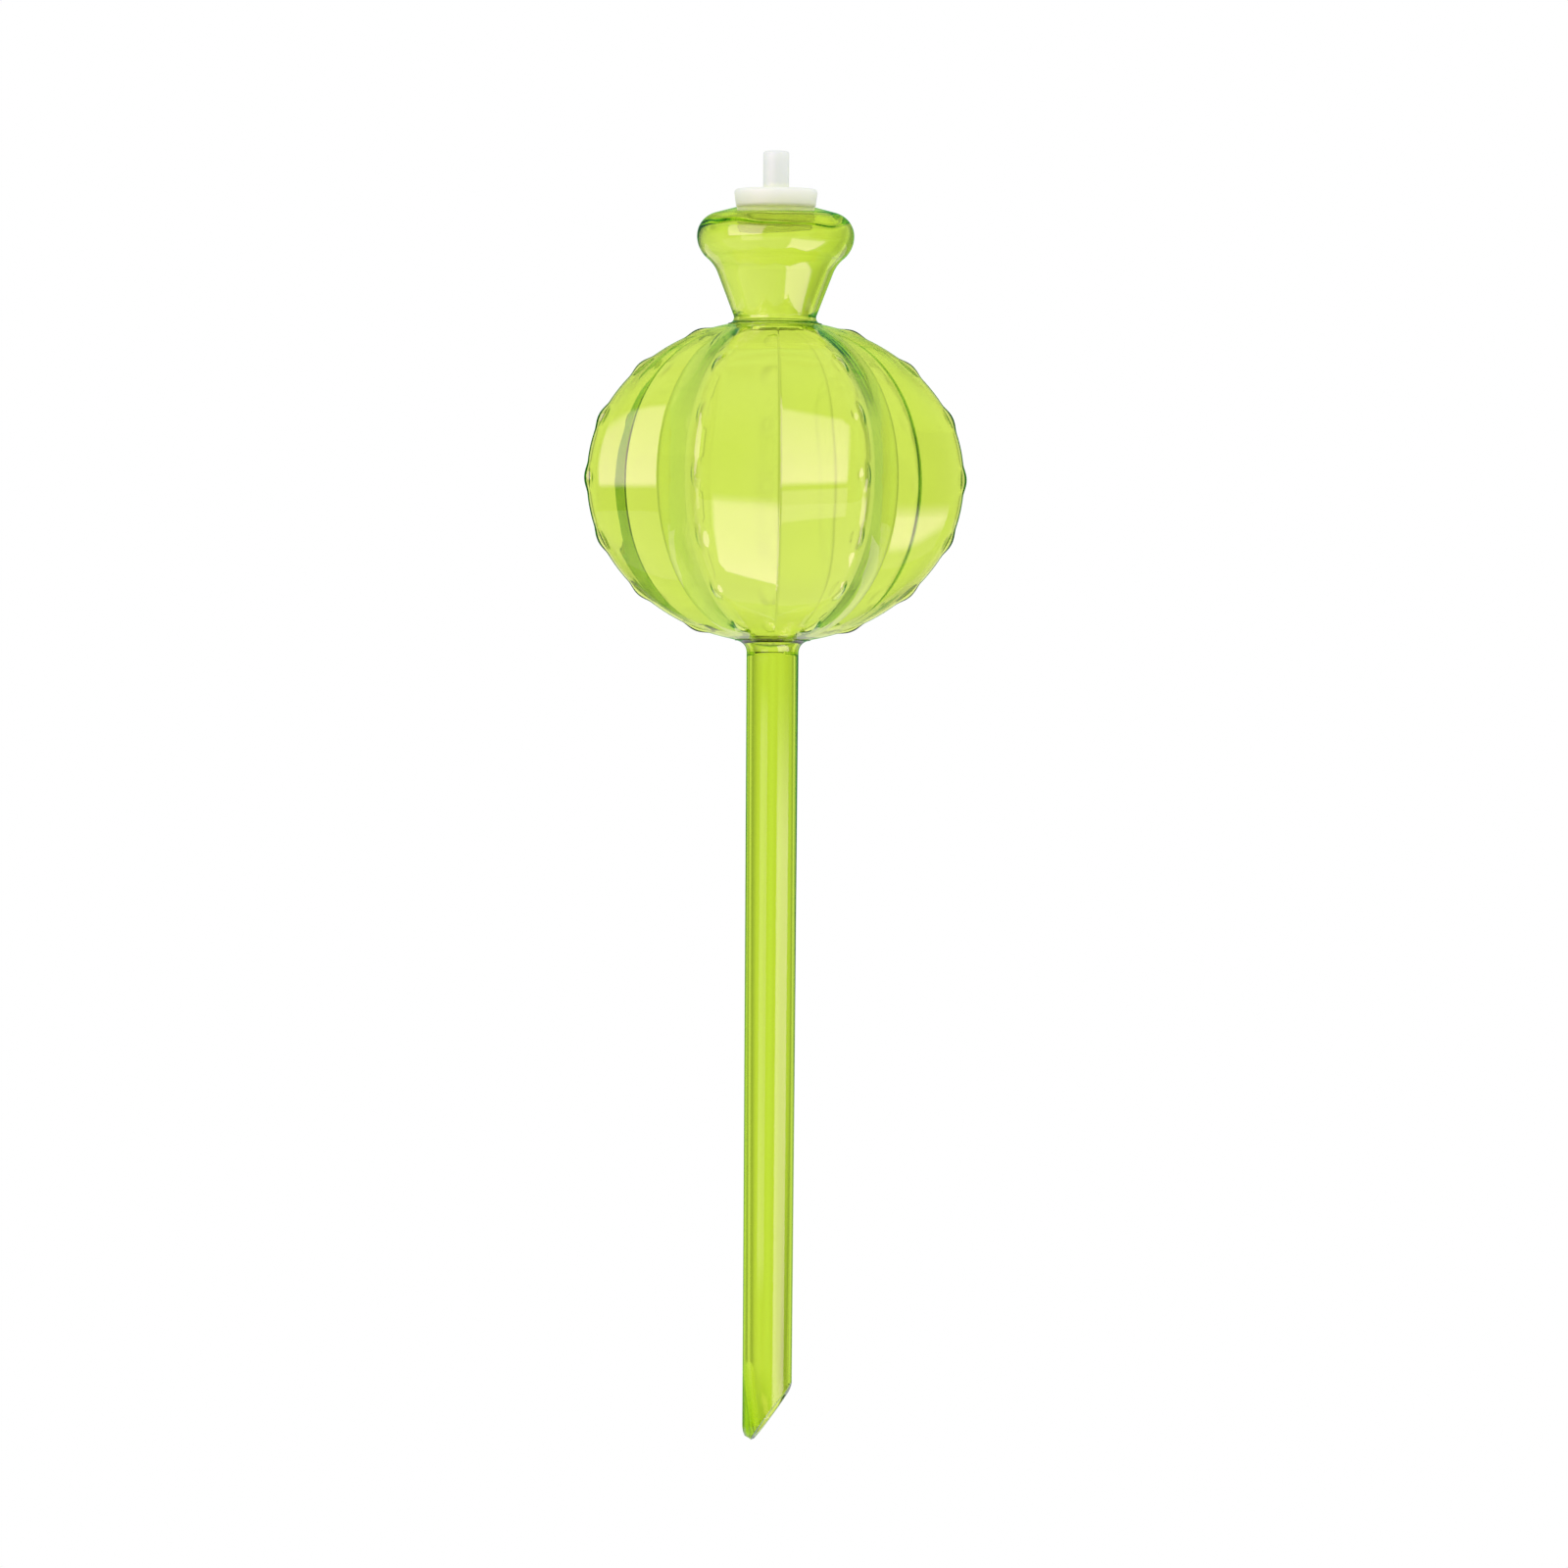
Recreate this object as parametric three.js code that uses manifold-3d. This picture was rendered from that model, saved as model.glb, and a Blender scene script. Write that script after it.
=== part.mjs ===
// Watering globe: a clear green ribbed bulb on a hollow bevelled stake, closed by a white stopper.
// Millimetres, +Z up. The origin is on the axis where the stake meets the underside of the globe,
// which is the soil line once the stake is pushed in. The photographed side faces -Y.

import * as THREE from 'three';
import { mergeVertices } from 'three/addons/utils/BufferGeometryUtils.js';
import Module from 'manifold-3d';

const { degToRad, lerp } = THREE.MathUtils;

// Globe: an oval of revolution with ribs, whose level sections are stars with straight flanks
const RIB_COUNT = 7;
const RIB_TURN = degToRad(2.4); // front valley, turned towards +X
const CREST_RADIUS = 39.0; // axis to rib crest at the equator
const RIB_DEPTH = 7.8; // crest radius less valley radius at the equator
const RIB_FADE = 0.35; // exponent: less makes the ribs rise sooner from the round seats
const GLOBE_HALF_HEIGHT = 32.6; // of the whole oval, before its poles are cut flat as seats
const GLOBE_FULLNESS = 2.12; // exponent of the oval: 2 is an ellipse, more is squarer
const GLOBE_WALL = 1.2;

// Spines: blunt little ridges in a row along every rib crest
const SPINES_PER_RIB = 7;
const SPINE_SPACING = degToRad(22); // in the parameter angle of the oval
const SPINE_LENGTH = 5.2;
const SPINE_WIDTH = 2.2;
const SPINE_HEIGHT = 1.0; // proud of the crest

// Spigots that centre the neck and the stake in the globe, and the adhesive gap round them
const SPIGOT_WALL = 0.8;
const SPIGOT_REACH = 1.8; // past the inside of the globe wall
const BOND_GAP = 0.15;
const SEAT_MARGIN = 0.3; // flat left on the globe round a foot

// Neck: a cone that sweeps out into a rounded bulge, with a domed top and a turned-in mouth
const WAIST_RADIUS = 8.4;
const NECK_WALL = 1.3;
const NECK_FOOT_ROUND = 1.2;
const NECK_FOOT_EDGE = 0.4;
const NECK_SWEEP_ROUND = 5.0;
const NECK_FLARE = 1.4; // bulge past the ring at which the cone aims
const BULGE_RADIUS = 16.1;
const BULGE_ROUND = 5.0;
const BULGE_HEIGHT = 17.8; // foot to widest ring
const DOME_SLOPE = degToRad(16);
const RIM_WIDTH = 0.7;
const MOUTH_RADIUS = 8.0;
const COLLAR_WALL = 1.2;
const COLLAR_DROP = 1.7; // collar end below the underside of the dome

// Stake: a slightly tapered tube, cut off at a slant
const STAKE_LENGTH = 163.6;
const STAKE_HEAD_RADIUS = 5.3;
const STAKE_TIP_RADIUS = 5.0;
const STAKE_WALL = 1.3;
const STAKE_FOOT_ROUND = 1.6;
const STAKE_FOOT_EDGE = 0.4;
const BEVEL_ANGLE = degToRad(36); // cut to axis
const BEVEL_TURN = degToRad(9); // opening, turned from +X towards the front
const TIP_ROUND_WIDTH = 1.2;
const TIP_ROUND_HEIGHT = 2.2;
const TIP_EDGE = 1.1; // outside of the tube to the sharp end of the cut
const HEEL_ROUND = 7.0;
const HEEL_CLEARANCE = 0.25; // heel round past the side of the tube

// Stopper: flange, pull stem and a shank with sealing lips
const STOPPER_SEAT_GAP = 0.2;
const FLANGE_OVERLAP = 0.7; // flange past the mouth
const FLANGE_TAPER = 0.35; // narrower underside
const FLANGE_THICKNESS = 3.6;
const FLANGE_ROUND = 0.7;
const STEM_RADIUS = 2.65;
const STEM_HEIGHT = 7.8;
const STEM_ROUND = 0.6;
const STEM_FILLET = 0.4;
const SHANK_LENGTH = 4.8;
const SHANK_CHAMFER = 0.5;
const LIP_COUNT = 2;
const LIP_WIDTH = 1.4;
const LIP_HEIGHT = 0.3;
const LIP_CLEARANCE = 0.2;

// Facets
const FLANK_STEPS = 3;
const GLOBE_ROWS = 24;
const ROUND_STEPS = 36;
const STAKE_STEPS = 30;
const ARC_STEPS = 3;
const SMALL_ARC_STEPS = 1;
const SPINE_SIDES = 6;
const SPINE_RINGS = 4;
const SAME_POINT = 1e-4;

// Sizes that follow from those above
const RIB_PITCH = (2 * Math.PI) / RIB_COUNT;
const VALLEY_RADIUS = CREST_RADIUS - RIB_DEPTH;
const NECK_BORE = WAIST_RADIUS - NECK_WALL;
const NECK_SPIGOT_RADIUS = NECK_BORE + SPIGOT_WALL;
const NECK_FOOT_RADIUS = WAIST_RADIUS + NECK_FOOT_ROUND;
const NECK_WAIST_HEIGHT = NECK_FOOT_EDGE + NECK_FOOT_ROUND;
const STAKE_BORE = STAKE_HEAD_RADIUS - STAKE_WALL;
const STAKE_SPIGOT_RADIUS = STAKE_BORE + SPIGOT_WALL;
const STAKE_FOOT_RADIUS = STAKE_HEAD_RADIUS + STAKE_FOOT_ROUND;
const SPIGOT_LENGTH = GLOBE_WALL + SPIGOT_REACH;
const TOP_SEAT_RADIUS = NECK_FOOT_RADIUS + SEAT_MARGIN;
const LOWER_SEAT_RADIUS = STAKE_FOOT_RADIUS + SEAT_MARGIN;
const GLOBE_CENTRE_Z = GLOBE_HALF_HEIGHT * ovalHeight(ovalAngle(LOWER_SEAT_RADIUS));
const TOP_SEAT_Z = GLOBE_CENTRE_Z + GLOBE_HALF_HEIGHT * ovalHeight(ovalAngle(TOP_SEAT_RADIUS));
const NECK_Z = TOP_SEAT_Z + BOND_GAP;
const RIM_RADIUS = MOUTH_RADIUS + RIM_WIDTH;
const RIM_HEIGHT = domeHeight(RIM_RADIUS, 0);
const STOPPER_Z = NECK_Z + RIM_HEIGHT + STOPPER_SEAT_GAP;

const wasm = await Module();
wasm.setup();

// Width and height of the oval as shares of its half axes, at a parameter angle from the equator
function ovalWidth(angle) {
  return Math.cos(angle) ** (2 / GLOBE_FULLNESS);
}

function ovalHeight(angle) {
  return Math.sign(angle) * Math.abs(Math.sin(angle)) ** (2 / GLOBE_FULLNESS);
}

function ovalAngle(radius) {
  return Math.acos((radius / CREST_RADIUS) ** (GLOBE_FULLNESS / 2));
}

// Height above the neck's foot of the domed top, taken `inset` under its outer surface
function domeHeight(radius, inset) {
  const round = BULGE_ROUND - inset;
  const edgeRadius = BULGE_RADIUS - BULGE_ROUND + round * Math.sin(DOME_SLOPE);
  const edgeHeight = BULGE_HEIGHT + round * Math.cos(DOME_SLOPE);
  return edgeHeight + (edgeRadius - radius) * Math.tan(DOME_SLOPE);
}

// Drops points and triangles that shrink to nothing, so that the surface is closed
function closed(geometry) {
  geometry.deleteAttribute('normal');
  geometry.deleteAttribute('uv');
  const merged = mergeVertices(geometry, SAME_POINT);
  const corners = merged.index.array;
  const kept = [];
  for (let i = 0; i < corners.length; i += 3) {
    const [a, b, c] = corners.slice(i, i + 3);
    if (a !== b && b !== c && c !== a) {
      kept.push(a, b, c);
    }
  }
  merged.setIndex(kept);
  return merged;
}

function outline(path, steps = ARC_STEPS) {
  const points = path.getPoints(steps);
  return points.filter((point, i) => i === 0 || point.distanceTo(points[i - 1]) > SAME_POINT);
}

// Turns an outline of (radius, height) points about the Z axis
function revolve(points, steps, start = 0) {
  const geometry = new THREE.LatheGeometry(points, steps, start);
  geometry.rotateX(Math.PI / 2);
  return closed(geometry);
}

function solid(geometry) {
  const vertProperties = new Float32Array(geometry.attributes.position.array);
  const triVerts = new Uint32Array(geometry.index.array);
  return new wasm.Manifold(new wasm.Mesh({ numProp: 3, vertProperties, triVerts }));
}

function geometryOf(body) {
  const mesh = body.getMesh();
  const geometry = new THREE.BufferGeometry();
  geometry.setAttribute('position', new THREE.BufferAttribute(mesh.vertProperties, 3));
  geometry.setIndex(new THREE.BufferAttribute(mesh.triVerts, 1));
  return geometry;
}

// Radius of the ribbed equator at an azimuth, which is 0 at the front and grows towards +X
function starRadius(azimuth) {
  const turn = azimuth - RIB_TURN;
  const fromValley = Math.abs(turn - RIB_PITCH * Math.round(turn / RIB_PITCH));
  const fromCrest = RIB_PITCH / 2 - fromValley;
  const area = CREST_RADIUS * VALLEY_RADIUS * Math.sin(RIB_PITCH / 2);
  return area / (CREST_RADIUS * Math.sin(fromCrest) + VALLEY_RADIUS * Math.sin(fromValley));
}

// Closed outer form of the globe about its own centre, with flat round seats at both poles
function globeForm() {
  const lowest = -ovalAngle(LOWER_SEAT_RADIUS);
  const highest = ovalAngle(TOP_SEAT_RADIUS);
  const profile = [new THREE.Vector2(0, GLOBE_HALF_HEIGHT * ovalHeight(lowest))];
  for (let row = 0; row <= GLOBE_ROWS; row += 1) {
    const angle = lerp(lowest, highest, row / GLOBE_ROWS);
    const height = GLOBE_HALF_HEIGHT * ovalHeight(angle);
    profile.push(new THREE.Vector2(CREST_RADIUS * ovalWidth(angle), height));
  }
  profile.push(new THREE.Vector2(0, GLOBE_HALF_HEIGHT * ovalHeight(highest)));

  const geometry = revolve(profile, 2 * RIB_COUNT * FLANK_STEPS, RIB_TURN);
  const position = geometry.attributes.position;
  for (let i = 0; i < position.count; i += 1) {
    const x = position.getX(i);
    const y = position.getY(i);
    const seat = position.getZ(i) < 0 ? LOWER_SEAT_RADIUS : TOP_SEAT_RADIUS;
    const rise = Math.max(0, (Math.hypot(x, y) - seat) / (CREST_RADIUS - seat));
    const scale = lerp(1, starRadius(Math.atan2(x, -y)) / CREST_RADIUS, rise ** RIB_FADE);
    position.setXY(i, x * scale, y * scale);
  }
  return geometry;
}

// Inside of the globe: flanks move in by the wall, which shrinks the star by one factor
function globeHollow(form) {
  const edge = Math.hypot(
    CREST_RADIUS - VALLEY_RADIUS * Math.cos(RIB_PITCH / 2),
    VALLEY_RADIUS * Math.sin(RIB_PITCH / 2),
  );
  const flankDistance = (CREST_RADIUS * VALLEY_RADIUS * Math.sin(RIB_PITCH / 2)) / edge;
  const across = 1 - GLOBE_WALL / flankDistance;
  const upright = 1 - GLOBE_WALL / GLOBE_HALF_HEIGHT;
  return form.clone().scale(across, across, upright);
}

// One spine on the crest at an azimuth and a parameter angle of the oval
function spine(azimuth, angle) {
  const width = ovalWidth(angle);
  const height = ovalHeight(angle);
  const slopeOut = width ** (GLOBE_FULLNESS - 1) / CREST_RADIUS;
  const slopeUp = (Math.sign(height) * Math.abs(height) ** (GLOBE_FULLNESS - 1)) / GLOBE_HALF_HEIGHT;
  const geometry = new THREE.SphereGeometry(1, SPINE_SIDES, SPINE_RINGS);
  geometry.scale(SPINE_WIDTH / 2, SPINE_HEIGHT, SPINE_LENGTH / 2);
  geometry.rotateX(-Math.atan2(slopeUp, slopeOut));
  geometry.translate(0, -CREST_RADIUS * width, GLOBE_HALF_HEIGHT * height);
  geometry.rotateZ(azimuth);
  return closed(geometry);
}

// Round hole through a seat for a spigot, from inside the globe to past its top or underside
function spigotHole(spigotRadius, seatHeight) {
  const radius = spigotRadius + BOND_GAP;
  const inner = seatHeight - Math.sign(seatHeight) * SPIGOT_LENGTH;
  const outer = seatHeight + Math.sign(seatHeight) * SPIGOT_LENGTH;
  const low = Math.min(inner, outer);
  const high = Math.max(inner, outer);
  const corners = [[0, low], [radius, low], [radius, high], [0, high]];
  return corners.map(([x, y]) => new THREE.Vector2(x, y));
}

function ribbedGlobe() {
  const form = globeForm();
  let body = solid(form);
  for (let rib = 0; rib < RIB_COUNT; rib += 1) {
    const azimuth = RIB_TURN + (rib + 0.5) * RIB_PITCH;
    for (let i = 0; i < SPINES_PER_RIB; i += 1) {
      const angle = (i - (SPINES_PER_RIB - 1) / 2) * SPINE_SPACING;
      body = body.add(solid(spine(azimuth, angle)));
    }
  }
  const neckHole = spigotHole(NECK_SPIGOT_RADIUS, TOP_SEAT_Z - GLOBE_CENTRE_Z);
  const stakeHole = spigotHole(STAKE_SPIGOT_RADIUS, -GLOBE_CENTRE_Z);
  body = body.subtract(solid(globeHollow(form)));
  body = body.subtract(solid(revolve(neckHole, ROUND_STEPS)));
  body = body.subtract(solid(revolve(stakeHole, STAKE_STEPS)));
  return geometryOf(body);
}

// Side of the neck from waist to domed top, `inset` under its outer surface: a cone, a hollow sweep
// and the bulge, each tangent to the next
function neckSide(inset) {
  const lean = Math.atan2(BULGE_RADIUS - NECK_FLARE - WAIST_RADIUS, BULGE_HEIGHT - NECK_WAIST_HEIGHT);
  const along = new THREE.Vector2(Math.sin(lean), Math.cos(lean));
  const outward = new THREE.Vector2(along.y, -along.x);
  const footRound = new THREE.Vector2(NECK_FOOT_RADIUS, NECK_WAIST_HEIGHT);
  const bulge = new THREE.Vector2(BULGE_RADIUS - BULGE_ROUND, BULGE_HEIGHT);
  const coneStart = footRound.clone().addScaledVector(outward, -NECK_FOOT_ROUND - inset);

  // The sweep is centred on a line beside the cone, as far from the bulge as their radii together
  const beside = footRound.clone().addScaledVector(outward, NECK_SWEEP_ROUND - NECK_FOOT_ROUND);
  const fromBulge = beside.clone().sub(bulge);
  const lead = fromBulge.dot(along);
  const reach = BULGE_ROUND + NECK_SWEEP_ROUND;
  const climb = -lead - Math.sqrt(lead ** 2 - fromBulge.lengthSq() + reach ** 2);
  const sweep = beside.addScaledVector(along, climb);
  const toBulge = bulge.clone().sub(sweep).angle();
  const coneEnd = sweep.clone().addScaledVector(outward, -NECK_SWEEP_ROUND - inset);

  const path = new THREE.Path();
  if (inset === 0) {
    path.moveTo(NECK_FOOT_RADIUS, NECK_FOOT_EDGE);
    path.absarc(footRound.x, footRound.y, NECK_FOOT_ROUND, -Math.PI / 2, Math.PI - lean, true);
  } else {
    path.moveTo(NECK_BORE, coneStart.y - (coneStart.x - NECK_BORE) / Math.tan(lean));
  }
  path.lineTo(coneEnd.x, coneEnd.y);
  path.absarc(sweep.x, sweep.y, NECK_SWEEP_ROUND + inset, Math.PI - lean, toBulge, true);
  path.absarc(bulge.x, bulge.y, BULGE_ROUND - inset, toBulge - Math.PI, Math.PI / 2 - DOME_SLOPE);
  return outline(path);
}

function mouthNeck() {
  const collarRadius = MOUTH_RADIUS + COLLAR_WALL;
  const collarTop = domeHeight(collarRadius, NECK_WALL);
  const foot = [[NECK_SPIGOT_RADIUS, -SPIGOT_LENGTH], [NECK_SPIGOT_RADIUS, 0], [NECK_FOOT_RADIUS, 0]];
  const mouth = [
    [RIM_RADIUS, RIM_HEIGHT],
    [MOUTH_RADIUS, RIM_HEIGHT],
    [MOUTH_RADIUS, collarTop - COLLAR_DROP],
    [collarRadius, collarTop - COLLAR_DROP],
    [collarRadius, collarTop],
  ];
  const bore = [[NECK_BORE, -SPIGOT_LENGTH], [NECK_SPIGOT_RADIUS, -SPIGOT_LENGTH]];
  const points = (corners) => corners.map(([x, y]) => new THREE.Vector2(x, y));
  const profile = [
    ...points(foot),
    ...neckSide(0),
    ...points(mouth),
    ...neckSide(NECK_WALL).reverse(),
    ...points(bore),
  ];
  return revolve(profile, ROUND_STEPS);
}

// Slanted cut across the lower end of the stake: what lies above it stays
function bevelCutter() {
  const reach = 2 * STAKE_FOOT_RADIUS;
  const along = new THREE.Vector2(Math.sin(BEVEL_ANGLE), Math.cos(BEVEL_ANGLE));
  const inward = new THREE.Vector2(-along.y, along.x);
  const tip = new THREE.Vector2(TIP_EDGE - STAKE_TIP_RADIUS, -STAKE_LENGTH);
  const side = STAKE_TIP_RADIUS + HEEL_CLEARANCE;
  const climb = (side - HEEL_ROUND - tip.x - HEEL_ROUND * inward.x) / along.x;
  const heel = tip.clone().addScaledVector(along, climb).addScaledVector(inward, HEEL_ROUND);

  const shape = new THREE.Shape();
  shape.moveTo(reach, 2 * SPIGOT_LENGTH);
  shape.lineTo(-reach, 2 * SPIGOT_LENGTH);
  shape.lineTo(-reach, tip.y - (reach + tip.x) / Math.tan(BEVEL_ANGLE));
  shape.absarc(heel.x, heel.y, HEEL_ROUND, -BEVEL_ANGLE, 0);
  shape.lineTo(reach, heel.y);
  const geometry = new THREE.ExtrudeGeometry(shape, {
    depth: 2 * reach,
    bevelEnabled: false,
    curveSegments: ARC_STEPS,
  });
  geometry.translate(0, 0, -reach);
  geometry.rotateX(Math.PI / 2);
  geometry.rotateZ(-BEVEL_TURN);
  return closed(geometry);
}

function stakeTube() {
  const tipBore = STAKE_TIP_RADIUS - STAKE_WALL;
  const neckLine = -STAKE_FOOT_EDGE - STAKE_FOOT_ROUND;
  const roundX = STAKE_TIP_RADIUS - TIP_ROUND_WIDTH;
  const roundY = TIP_ROUND_HEIGHT - STAKE_LENGTH;
  const path = new THREE.Path();
  path.moveTo(tipBore, -STAKE_LENGTH);
  path.lineTo(roundX, -STAKE_LENGTH);
  path.absellipse(roundX, roundY, TIP_ROUND_WIDTH, TIP_ROUND_HEIGHT, -Math.PI / 2, 0);
  path.absarc(STAKE_FOOT_RADIUS, neckLine, STAKE_FOOT_ROUND, Math.PI, Math.PI / 2, true);
  path.lineTo(STAKE_FOOT_RADIUS, 0);
  path.lineTo(STAKE_SPIGOT_RADIUS, 0);
  path.lineTo(STAKE_SPIGOT_RADIUS, SPIGOT_LENGTH);
  path.lineTo(STAKE_BORE, SPIGOT_LENGTH);
  path.lineTo(STAKE_BORE, neckLine);
  path.lineTo(tipBore, -STAKE_LENGTH);
  const tube = solid(revolve(outline(path), STAKE_STEPS));
  return geometryOf(tube.intersect(solid(bevelCutter())));
}

function stopperPlug() {
  const lipRadius = MOUTH_RADIUS - LIP_CLEARANCE;
  const shankRadius = lipRadius - LIP_HEIGHT;
  const flangeRadius = MOUTH_RADIUS + FLANGE_OVERLAP;
  const top = FLANGE_THICKNESS + STEM_HEIGHT;
  const lipPitch = (SHANK_LENGTH - SHANK_CHAMFER) / LIP_COUNT;

  const path = new THREE.Path();
  path.moveTo(0, -SHANK_LENGTH);
  path.lineTo(shankRadius - SHANK_CHAMFER, -SHANK_LENGTH);
  path.lineTo(shankRadius, SHANK_CHAMFER - SHANK_LENGTH);
  for (let lip = LIP_COUNT - 1; lip >= 0; lip -= 1) {
    const height = -(lip + 0.5) * lipPitch;
    path.absellipse(shankRadius, height, LIP_HEIGHT, LIP_WIDTH / 2, -Math.PI / 2, Math.PI / 2);
  }
  path.lineTo(shankRadius, 0);
  path.lineTo(flangeRadius - FLANGE_TAPER, 0);
  path.absarc(flangeRadius - FLANGE_ROUND, FLANGE_THICKNESS - FLANGE_ROUND, FLANGE_ROUND, 0, Math.PI / 2);
  path.absarc(
    STEM_RADIUS + STEM_FILLET,
    FLANGE_THICKNESS + STEM_FILLET,
    STEM_FILLET,
    -Math.PI / 2,
    -Math.PI,
    true,
  );
  path.absarc(STEM_RADIUS - STEM_ROUND, top - STEM_ROUND, STEM_ROUND, 0, Math.PI / 2);
  path.lineTo(0, top);
  return revolve(outline(path, SMALL_ARC_STEPS), ROUND_STEPS);
}

function clearGreen() {
  return new THREE.MeshStandardMaterial({
    color: 0xb8dc32,
    roughness: 0.08,
    metalness: 0,
    transparent: true,
    opacity: 0.55,
  });
}

function milkyWhite() {
  return new THREE.MeshStandardMaterial({ color: 0xe8e8e0, roughness: 0.5, metalness: 0 });
}

function piece(name, geometry, material, height) {
  geometry.computeVertexNormals();
  const mesh = new THREE.Mesh(geometry, material);
  mesh.name = name;
  mesh.position.z = height;
  return mesh;
}

const wateringGlobe = new THREE.Group();
wateringGlobe.add(
  piece('stake_tube', stakeTube(), clearGreen(), -BOND_GAP),
  piece('ribbed_globe', ribbedGlobe(), clearGreen(), GLOBE_CENTRE_Z),
  piece('mouth_neck', mouthNeck(), clearGreen(), NECK_Z),
  piece('stopper', stopperPlug(), milkyWhite(), STOPPER_Z),
);

export default wateringGlobe;
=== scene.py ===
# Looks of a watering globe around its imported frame: clear green mouldings and a white stopper.
# Metres, +Z up. The photographed side faces -Y, and azimuths start there and grow towards +X.

import math
from typing import NamedTuple

import bpy
import numpy as np
from mathutils import Matrix, Vector


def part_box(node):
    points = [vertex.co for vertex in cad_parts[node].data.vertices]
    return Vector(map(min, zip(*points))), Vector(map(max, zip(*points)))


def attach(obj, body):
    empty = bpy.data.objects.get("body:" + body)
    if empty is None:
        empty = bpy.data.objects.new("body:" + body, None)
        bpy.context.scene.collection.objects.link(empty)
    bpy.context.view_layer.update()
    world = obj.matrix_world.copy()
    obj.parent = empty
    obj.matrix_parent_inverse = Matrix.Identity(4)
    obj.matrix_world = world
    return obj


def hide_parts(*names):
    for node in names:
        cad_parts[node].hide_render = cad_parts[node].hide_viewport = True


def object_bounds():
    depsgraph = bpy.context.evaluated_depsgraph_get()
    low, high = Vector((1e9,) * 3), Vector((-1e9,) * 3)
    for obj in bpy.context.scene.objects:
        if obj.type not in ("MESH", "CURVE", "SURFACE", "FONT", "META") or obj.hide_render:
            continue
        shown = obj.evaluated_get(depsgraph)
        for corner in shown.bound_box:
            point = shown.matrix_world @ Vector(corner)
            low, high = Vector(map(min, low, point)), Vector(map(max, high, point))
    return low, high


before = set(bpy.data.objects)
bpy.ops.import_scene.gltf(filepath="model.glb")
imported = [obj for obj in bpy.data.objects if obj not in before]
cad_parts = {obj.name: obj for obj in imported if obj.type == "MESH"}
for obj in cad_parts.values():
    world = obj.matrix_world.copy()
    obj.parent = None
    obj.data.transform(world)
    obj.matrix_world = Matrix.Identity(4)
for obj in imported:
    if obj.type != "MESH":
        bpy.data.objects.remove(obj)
CAD_LOW, CAD_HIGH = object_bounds()

MM = 0.001

# Ribbed globe; softness, spread and width across a rib are in radians
RIB_COUNT = 7
RIB_TURN = math.radians(2.4)
CREST_RADIUS = 39.3 * MM
VALLEY_RADIUS = 31.2 * MM
CREST_SOFTNESS = 0.045
VALLEY_SOFTNESS = 0.006
PARTING_DEPTH = 0.2 * MM
PARTING_WIDTH = 0.008
RIB_FADE = 0.35
GLOBE_FULLNESS = 2.05
CENTRE_HEIGHT = 32.2 * MM
SEAT_SINK = 0.35 * MM
GLOBE_WALL = 0.9 * MM
POLE_WALL = 0.6 * MM
CREST_THINNING = 0.25 * MM
END_THINNING = 0.78 * MM
THINNING_SPREAD = 0.20
END_SOFTNESS = 0.07
END_START = 0.3
END_FULL = 0.8
LOWER_SEAT_RADIUS = 8.0 * MM
TOP_SEAT_RADIUS = 9.9 * MM

# Spines on the rib crests
SPINES_PER_RIB = 7
SPINE_SPACING = math.radians(22)
SPINE_LENGTH = 7.0 * MM
SPINE_WIDTH = 3.0 * MM
SPINE_HEIGHT = 0.6 * MM

# Bonded seats
BOND_GAP = 0.05 * MM
EDGE_ROUND = 0.12 * MM
HOLE_ROUND = 2.0 * MM

# Neck
WAIST_RADIUS = 8.4 * MM
NECK_WALL = 1.0 * MM
NECK_FOOT_ROUND = 1.2 * MM
NECK_FOOT_EDGE = 0.15 * MM
NECK_SWEEP_ROUND = 7.0 * MM
NECK_FLARE = 1.3 * MM
BULGE_RADIUS = 16.05 * MM
BULGE_ROUND = 4.85 * MM
BULGE_UNDER_ROUND = 6.0 * MM
BULGE_HEIGHT = 18.0 * MM
DOME_SLOPE = math.radians(16)
RIM_ROUND = 0.35 * MM
RIM_WIDTH = 0.7 * MM
MOUTH_RADIUS = 8.0 * MM
FOLD_HEIGHT = 20.7 * MM
FOLD_WIDTH = 0.8 * MM
FOLD_DEPTH = 0.3 * MM
FOLD_WAVE = 0.8 * MM
FOLD_WAVES = (2, 3, 5, 7, 11)
NECK_BORE_SHIFT = 0.5 * MM

# Stake
STAKE_HEAD_RADIUS = 5.3 * MM
STAKE_TIP_RADIUS = 5.0 * MM
STAKE_WALL = 1.3 * MM
STAKE_FOOT_ROUND = 2.4 * MM
STAKE_FOOT_EDGE = 0.15 * MM
BEVEL_ANGLE = math.radians(36)
BEVEL_TURN = math.radians(9)
TIP_ROUND_WIDTH = 1.7 * MM
TIP_ROUND_HEIGHT = 3.0 * MM
TIP_EDGE = 1.9 * MM
HEEL_ROUND = 7.0 * MM
HEEL_CLEARANCE = 0.25 * MM
CUT_ROUND = 0.25 * MM
BORE_WANDER = 0.12 * MM
BORE_WANDER_LENGTH = 70.0 * MM
BORE_WAVES = (2, 3, 5)
BORE_END_LENGTH = 16.0 * MM
BORE_END_TAPER = 0.9 * MM
BORE_END_SHIFT = 0.8 * MM

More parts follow.
